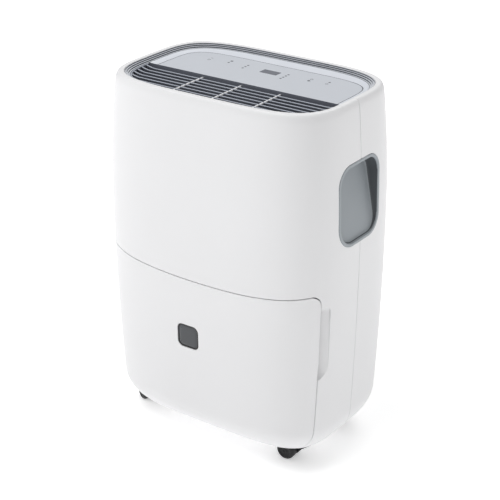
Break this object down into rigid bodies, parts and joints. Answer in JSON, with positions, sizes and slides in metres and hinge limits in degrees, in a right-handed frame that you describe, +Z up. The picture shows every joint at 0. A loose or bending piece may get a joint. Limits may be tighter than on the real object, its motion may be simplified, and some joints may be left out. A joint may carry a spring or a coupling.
{
  "type": "dehumidifier",
  "caption": "Upright household dehumidifier: white rounded cabinet on swivel casters, top air grille and touch panel, pull-out water bucket with level window, side hand grips.",
  "frame": {"origin": "on the floor under the middle of the cabinet's plan", "axes": "+Z up; -Y is the front with the water bucket; +Y is the back with the intake grille; +X is on the right of a viewer who faces the front"},
  "size_m": [0.3506, 0.2426, 0.51],
  "materials": {
    "cabinet_white": "smooth satin white",
    "panel_silver": "silver-grey satin",
    "trim_grey": "fine matt grey",
    "grip_grey": "fine matt mid grey",
    "smoked_lens": "glossy smoked grey",
    "black_plastic": "semi-gloss black",
    "tub_clear": "translucent, slightly frosted",
    "galvanised": "galvanised sheet",
    "compressor_black": "satin black paint",
    "copper": "drawn copper tube",
    "aluminium_fin": "mill-finish fins",
    "board_green": "solder resist",
    "filter_grey": "fine net",
    "rubber": "matt",
    "float_white": "foam",
    "steel": "zinc plated"
  },
  "bodies": {
    "cabinet": {"base_pan": "cabinet_white", "bucket_switch": "black_plastic", "circuit_board": "board_green", "compressor": "compressor_black", "compressor_foot_1": "rubber", "compressor_foot_2": "rubber", "compressor_foot_3": "rubber", "condenser_coil": "aluminium_fin", "control_box": "black_plastic", "control_panel": "panel_silver", "cord_gland": "black_plastic", "discharge_pipe": "copper", "display_lens": "smoked_lens", "drain_outlet": "cabinet_white", "drip_tray": "cabinet_white", "evaporator_coil": "aluminium_fin", "fan_housing": "cabinet_white", "fan_motor": "galvanised", "front_cover": "cabinet_white", "grille_ribs": "panel_silver", "handle_cup_left": "grip_grey", "handle_cup_right": "grip_grey", "outlet_grille": "trim_grey", "panel_overlay": "panel_silver", "rear_cover": "cabinet_white", "rear_screw_1": "steel", "rear_screw_2": "steel", "rear_screw_3": "steel", "run_capacitor": "galvanised", "suction_pipe": "copper", "tank_divider": "galvanised", "top_frame": "trim_grey"},
    "bucket": {"bucket_front": "cabinet_white", "bucket_tub": "tub_clear", "bucket_lid": "cabinet_white", "water_window": "smoked_lens", "float_bracket": "cabinet_white", "handle_ear_left": "cabinet_white", "handle_ear_right": "cabinet_white"},
    "bucket_handle": {"bucket_handle": "grip_grey"},
    "float": {"float_lever": "float_white"},
    "air_filter": {"intake_grille": "cabinet_white", "filter_frame": "filter_grey", "filter_mesh": "filter_grey"},
    "blower": {"blower_wheel": "black_plastic"},
    "drain_cap": {"drain_cap": "grip_grey"},
    "caster_front_left": {"caster_fork_front_left": "black_plastic"},
    "wheel_front_left_a": {"caster_wheel_front_left_a": "black_plastic"},
    "wheel_front_left_b": {"caster_wheel_front_left_b": "black_plastic"},
    "caster_front_right": {"caster_fork_front_right": "black_plastic"},
    "wheel_front_right_a": {"caster_wheel_front_right_a": "black_plastic"},
    "wheel_front_right_b": {"caster_wheel_front_right_b": "black_plastic"},
    "caster_rear_left": {"caster_fork_rear_left": "black_plastic"},
    "wheel_rear_left_a": {"caster_wheel_rear_left_a": "black_plastic"},
    "wheel_rear_left_b": {"caster_wheel_rear_left_b": "black_plastic"},
    "caster_rear_right": {"caster_fork_rear_right": "black_plastic"},
    "wheel_rear_right_a": {"caster_wheel_rear_right_a": "black_plastic"},
    "wheel_rear_right_b": {"caster_wheel_rear_right_b": "black_plastic"}
  },
  "joints": [
    {"name": "bucket_slide", "type": "slide", "parent": "cabinet", "child": "bucket", "axis": [0, -1, 0], "range_m": [0, 0.16]},
    {"name": "bucket_handle_pivot", "type": "hinge", "parent": "bucket", "child": "bucket_handle", "pos_m": [0, -0.056, 0.1985], "axis": [1, 0, 0], "range_deg": [0, 90]},
    {"name": "float_pivot", "type": "hinge", "parent": "bucket", "child": "float", "pos_m": [0.095, -0.0112, 0.17], "axis": [1, 0, 0], "range_deg": [-20, 0]},
    {"name": "air_filter_pull", "type": "slide", "parent": "cabinet", "child": "air_filter", "axis": [0, 1, 0], "range_m": [0, 0.06]},
    {"name": "blower_spin", "type": "hinge", "parent": "cabinet", "child": "blower", "pos_m": [0, 0, 0.372], "axis": [0, 1, 0], "continuous": true},
    {"name": "drain_cap_pull", "type": "slide", "parent": "cabinet", "child": "drain_cap", "axis": [0, 1, 0], "range_m": [0, 0.025]},
    {"name": "caster_swivel_front_left", "type": "hinge", "parent": "cabinet", "child": "caster_front_left", "pos_m": [-0.1285, -0.05, 0.02], "axis": [0, 0, 1], "continuous": true},
    {"name": "wheel_roll_front_left_a", "type": "hinge", "parent": "caster_front_left", "child": "wheel_front_left_a", "pos_m": [-0.14905, -0.03861, 0.0135], "axis": [-0.4848, -0.8746, 0], "continuous": true},
    {"name": "wheel_roll_front_left_b", "type": "hinge", "parent": "caster_front_left", "child": "wheel_front_left_b", "pos_m": [-0.14905, -0.03861, 0.0135], "axis": [-0.4848, -0.8746, 0], "continuous": true},
    {"name": "caster_swivel_front_right", "type": "hinge", "parent": "cabinet", "child": "caster_front_right", "pos_m": [0.1285, -0.05, 0.02], "axis": [0, 0, 1], "continuous": true},
    {"name": "wheel_roll_front_right_a", "type": "hinge", "parent": "caster_front_right", "child": "wheel_front_right_a", "pos_m": [0.105, -0.05, 0.0135], "axis": [0, -1, 0], "continuous": true},
    {"name": "wheel_roll_front_right_b", "type": "hinge", "parent": "caster_front_right", "child": "wheel_front_right_b", "pos_m": [0.105, -0.05, 0.0135], "axis": [0, -1, 0], "continuous": true},
    {"name": "caster_swivel_rear_left", "type": "hinge", "parent": "cabinet", "child": "caster_rear_left", "pos_m": [-0.1285, 0.053, 0.02], "axis": [0, 0, 1], "continuous": true},
    {"name": "wheel_roll_rear_left_a", "type": "hinge", "parent": "caster_rear_left", "child": "wheel_rear_left_a", "pos_m": [-0.1512, 0.05908, 0.0135], "axis": [-0.2588, -0.9659, 0], "continuous": true},
    {"name": "wheel_roll_rear_left_b", "type": "hinge", "parent": "caster_rear_left", "child": "wheel_rear_left_b", "pos_m": [-0.1512, 0.05908, 0.0135], "axis": [-0.2588, -0.9659, 0], "continuous": true},
    {"name": "caster_swivel_rear_right", "type": "hinge", "parent": "cabinet", "child": "caster_rear_right", "pos_m": [0.1285, 0.053, 0.02], "axis": [0, 0, 1], "continuous": true},
    {"name": "wheel_roll_rear_right_a", "type": "hinge", "parent": "caster_rear_right", "child": "wheel_rear_right_a", "pos_m": [0.10775, 0.06403, 0.0135], "axis": [-0.4695, -0.8829, 0], "continuous": true},
    {"name": "wheel_roll_rear_right_b", "type": "hinge", "parent": "caster_rear_right", "child": "wheel_rear_right_b", "pos_m": [0.10775, 0.06403, 0.0135], "axis": [-0.4695, -0.8829, 0], "continuous": true}
  ]
}
